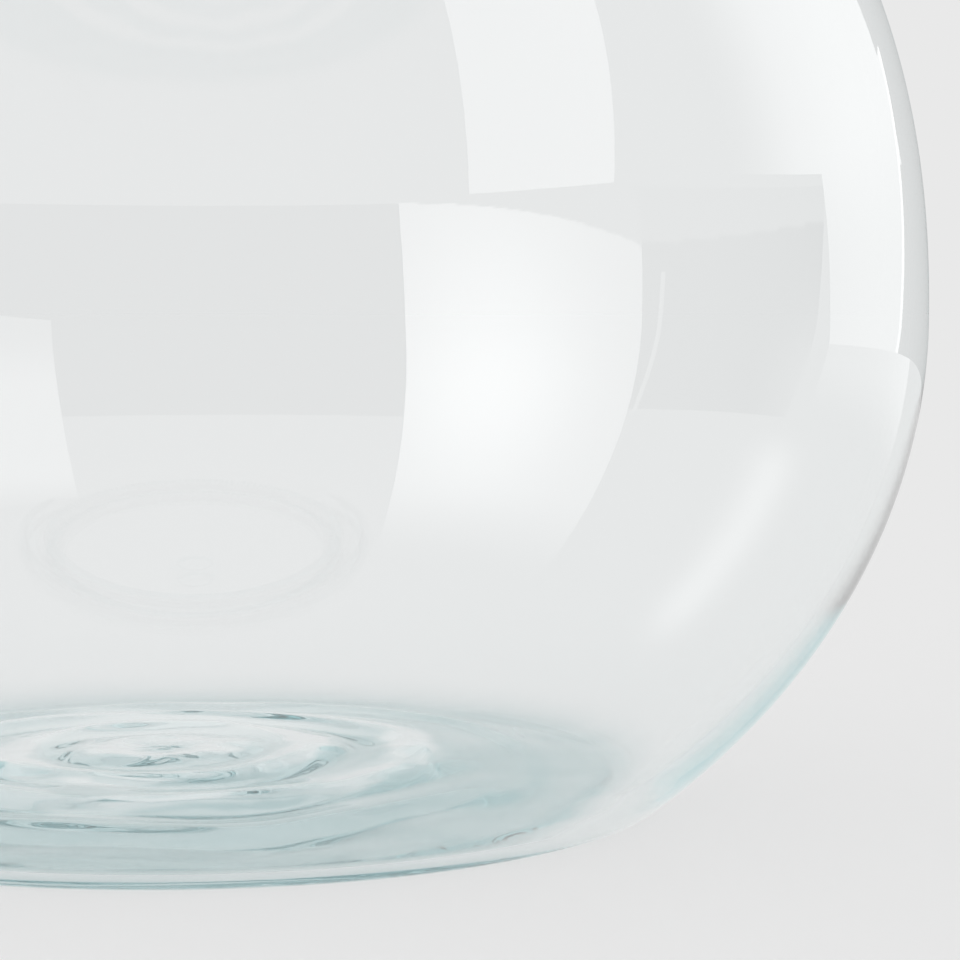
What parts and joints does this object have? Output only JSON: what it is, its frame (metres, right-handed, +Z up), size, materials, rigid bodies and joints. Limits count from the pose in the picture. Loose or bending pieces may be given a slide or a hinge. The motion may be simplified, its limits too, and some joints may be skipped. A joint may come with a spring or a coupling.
{
  "type": "glass cloche",
  "caption": "Clear blown glass globe standing on its own thick rippled base, closed by a lift-off bell-shaped glass cover with a ball knob and a clear seal ring.",
  "frame": {"origin": "centre of the foot ring, on the surface the globe stands on", "axes": "+Z up along the axis that every piece is turned about"},
  "size_m": [0.3, 0.3, 0.3499],
  "materials": {
    "blown_glass": "clear, fire-polished, with a faint blue-green tint where it is thick",
    "clear_silicone": "soft, milky clear silicone"
  },
  "bodies": {
    "vessel": {"vessel": "blown_glass"},
    "cover": {"cover": "blown_glass", "seal_ring": "clear_silicone"}
  },
  "joints": [
    {"name": "cover_lift", "type": "slide", "parent": "vessel", "child": "cover", "axis": [0, 0, 1], "range_m": [0, 0.15]}
  ]
}
